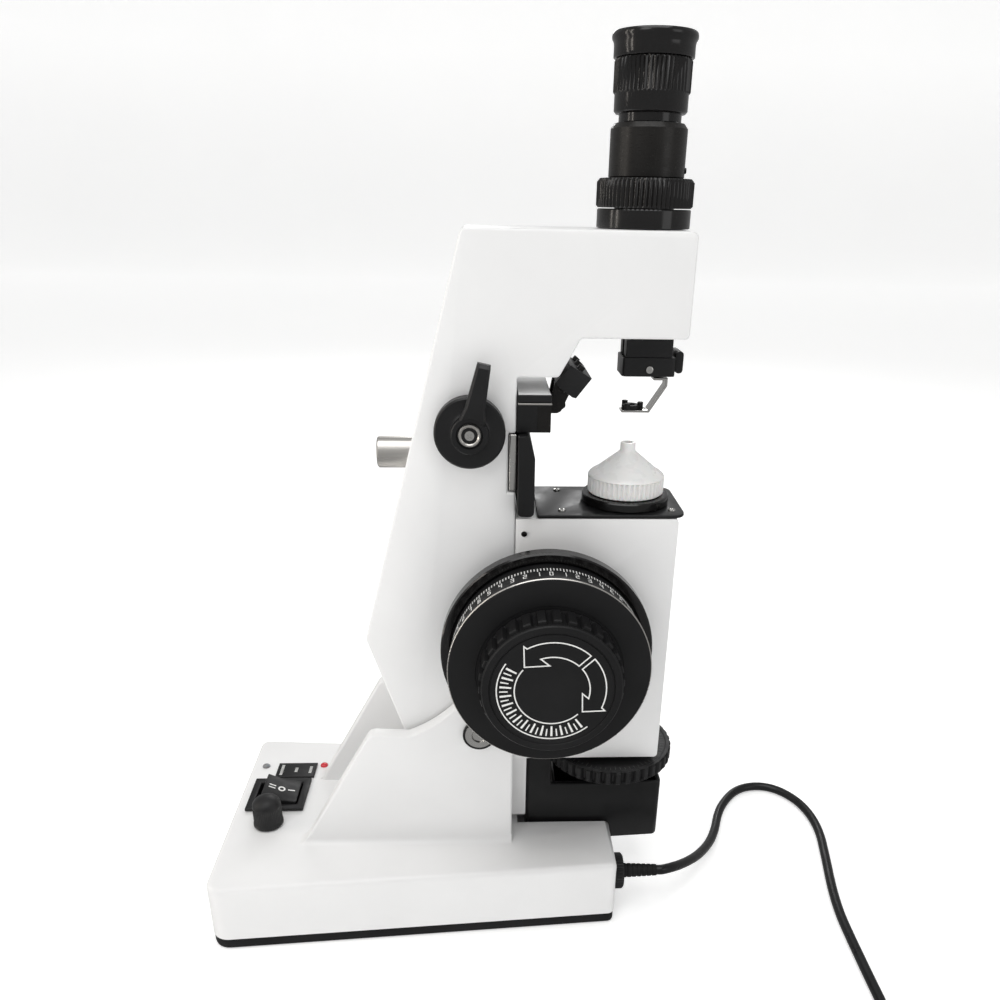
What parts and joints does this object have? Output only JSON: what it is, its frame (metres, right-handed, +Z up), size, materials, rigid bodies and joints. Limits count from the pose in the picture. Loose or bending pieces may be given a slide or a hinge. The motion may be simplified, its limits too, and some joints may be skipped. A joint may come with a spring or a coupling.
{
  "type": "lensmeter",
  "caption": "Bench lensmeter: tilting column with eyepiece, lens stop, retainer, marking pens, power drum, axis wheel and lens table on a switched base with mains lead.",
  "frame": {"origin": "centre of the base's underside, on the surface that it stands on", "axes": "+X away from the operator along the base, +Y to the operator's left, +Z up along the optical axis"},
  "size_m": [0.3764, 0.2991, 0.446],
  "materials": {
    "white_paint": "satin enamel on castings",
    "black_paint": "satin black enamel",
    "black_anodised": "black anodised, semi-gloss",
    "black_plastic": "moulded, fine texture",
    "black_rubber": "matte",
    "steel": "ground",
    "ivory_plastic": "smooth, slightly waxy",
    "optical_glass": "polished",
    "red_lens": "glossy",
    "grey_lens": "glossy",
    "circuit_board": "solder mask"
  },
  "bodies": {
    "base": {"bottom_plate": "black_rubber", "base_shell": "white_paint", "near_cheek": "white_paint", "far_cheek": "white_paint", "power_board": "circuit_board", "pivot_shaft": "steel", "near_pivot_cap": "steel", "far_pivot_cap": "steel", "rocker_frame": "black_plastic", "label_plate": "black_plastic", "grey_led": "grey_lens", "red_led": "red_lens", "cord_gland": "black_plastic", "cord_run": "black_rubber", "cord_coil": "black_rubber", "mains_plug": "black_plastic"},
    "rocker": {"rocker": "black_plastic"},
    "brightness_knob": {"brightness_knob": "black_plastic"},
    "tilting_body": {"column": "white_paint", "head": "white_paint", "optics_box": "white_paint", "stop_plate": "black_paint", "stop_ring": "black_anodised", "collimator_lens": "optical_glass", "drum_shroud": "black_paint", "lamp_house": "black_paint", "lamp_bulb": "optical_glass", "retainer_upper_block": "black_paint", "retainer_lower_block": "black_paint", "ink_pad_block": "black_paint", "ink_pad_lid": "black_plastic", "objective_lens": "optical_glass", "telescope_collar": "black_anodised", "eyepiece_barrel": "black_anodised"},
    "lens_stop": {"lens_stop": "ivory_plastic"},
    "power_drum": {"scale_drum": "black_plastic", "drum_face": "black_plastic", "drum_knob": "black_plastic", "drum_pinion": "steel"},
    "target_carriage": {"target_carriage": "black_anodised"},
    "target": {"target_glass": "optical_glass"},
    "axis_wheel": {"axis_wheel": "black_plastic"},
    "lens_table": {"lens_table": "black_paint", "table_carriage": "steel", "guide_rod": "steel"},
    "table_lever": {"table_lever": "black_plastic", "lever_pinion": "steel"},
    "lens_retainer": {"retainer_slider": "black_plastic", "retainer_arm": "steel", "retainer_pad": "black_rubber"},
    "marker": {"marker_arm": "black_anodised", "pen_holder": "black_plastic", "marking_pen_1": "steel", "marking_pen_2": "steel", "marking_pen_3": "steel"},
    "reticle": {"reticle_ring": "black_plastic", "reticle_glass": "optical_glass"},
    "eyepiece": {"dioptre_tube": "black_anodised", "eyecup": "black_plastic", "eye_lens": "optical_glass"}
  },
  "joints": [
    {"name": "body_tilt", "type": "hinge", "parent": "base", "child": "tilting_body", "pos_m": [0.0356, 0, 0.115], "axis": [0, -1, 0], "range_deg": [0, 45]},
    {"name": "rocker_tilt", "type": "hinge", "parent": "base", "child": "rocker", "pos_m": [-0.0888, 0.01, 0.0405], "axis": [0, -1, 0], "range_deg": [0, 34]},
    {"name": "brightness_turn", "type": "hinge", "parent": "base", "child": "brightness_knob", "pos_m": [-0.0893, -0.017, 0.05], "axis": [0, 0, -1], "range_deg": [0, 300]},
    {"name": "lens_stop_turn", "type": "hinge", "parent": "tilting_body", "child": "lens_stop", "pos_m": [0.1125, 0, 0.25], "axis": [0, 0, 1], "continuous": true},
    {"name": "power_turn", "type": "hinge", "parent": "tilting_body", "child": "power_drum", "pos_m": [0.0705, -0.04, 0.1691], "axis": [0, -1, 0], "range_deg": [-140, 140]},
    {"name": "target_travel", "type": "slide", "parent": "tilting_body", "child": "target_carriage", "axis": [0, 0, 1], "range_m": [-0.0197, 0.0197]},
    {"name": "target_turn", "type": "hinge", "parent": "target_carriage", "child": "target", "pos_m": [0.1125, 0, 0.167], "axis": [0, 0, 1], "continuous": true},
    {"name": "axis_turn", "type": "hinge", "parent": "tilting_body", "child": "axis_wheel", "pos_m": [0.1125, 0, 0.085], "axis": [0, 0, 1], "continuous": true},
    {"name": "table_travel", "type": "slide", "parent": "tilting_body", "child": "lens_table", "axis": [1, 0, 0], "range_m": [0, 0.025]},
    {"name": "table_lever_turn", "type": "hinge", "parent": "tilting_body", "child": "table_lever", "pos_m": [0.0317, -0.03, 0.2796], "axis": [0, -1, 0], "range_deg": [0, 157]},
    {"name": "retainer_travel", "type": "slide", "parent": "tilting_body", "child": "lens_retainer", "axis": [0, 0, -1], "range_m": [0, 0.0145]},
    {"name": "marker_swing", "type": "hinge", "parent": "tilting_body", "child": "marker", "pos_m": [0.0735, 0, 0.2885], "axis": [0, 1, 0], "range_deg": [0, 65]},
    {"name": "reticle_turn", "type": "hinge", "parent": "tilting_body", "child": "reticle", "pos_m": [0.1125, 0, 0.3835], "axis": [0, 0, 1], "continuous": true},
    {"name": "dioptre_turn", "type": "hinge", "parent": "tilting_body", "child": "eyepiece", "pos_m": [0.1125, 0, 0.42], "axis": [0, 0, 1], "range_deg": [-180, 180]}
  ],
  "couplings": [
    {"joint": "target_travel", "follows": "power_turn", "m_per_rad": 0.008},
    {"joint": "table_lever_turn", "follows": "table_travel", "rad_per_m": 109.6},
    {"joint": "target_turn", "follows": "axis_turn", "ratio": 1}
  ]
}
